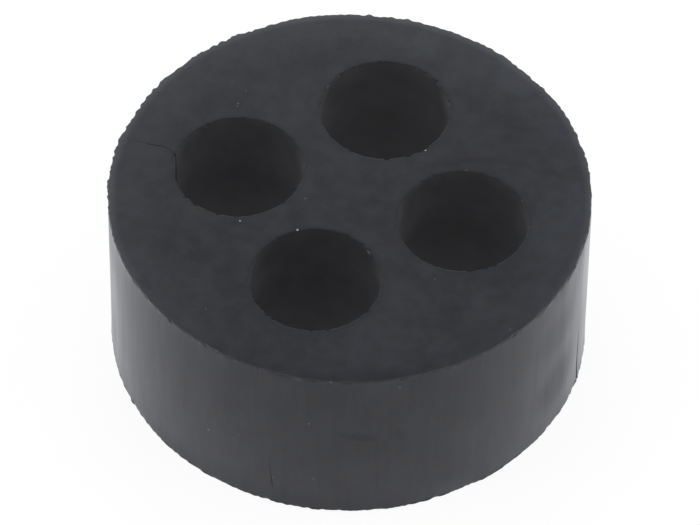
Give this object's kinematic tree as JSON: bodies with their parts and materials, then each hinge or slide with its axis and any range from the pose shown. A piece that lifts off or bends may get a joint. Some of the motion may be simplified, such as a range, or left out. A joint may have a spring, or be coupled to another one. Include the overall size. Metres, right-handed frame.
{
  "type": "multi-hole gland sealing insert",
  "caption": "Short round rubber plug with cable holes on a circle, each slit out to the side wall, for sealing several cables in one gland.",
  "frame": {"origin": "centre of the bottom face, on the surface that the insert stands on", "axes": "+Z along the cables, up out of the top face; +X from the centre through one cable hole and its slit"},
  "size_m": [0.026, 0.026, 0.011],
  "materials": {
    "rubber": "near-black moulded rubber, matte on the two faces and satin with fine upright draw lines on the side wall"
  },
  "bodies": {
    "root": {"sealing_insert": "rubber"}
  },
  "joints": []
}
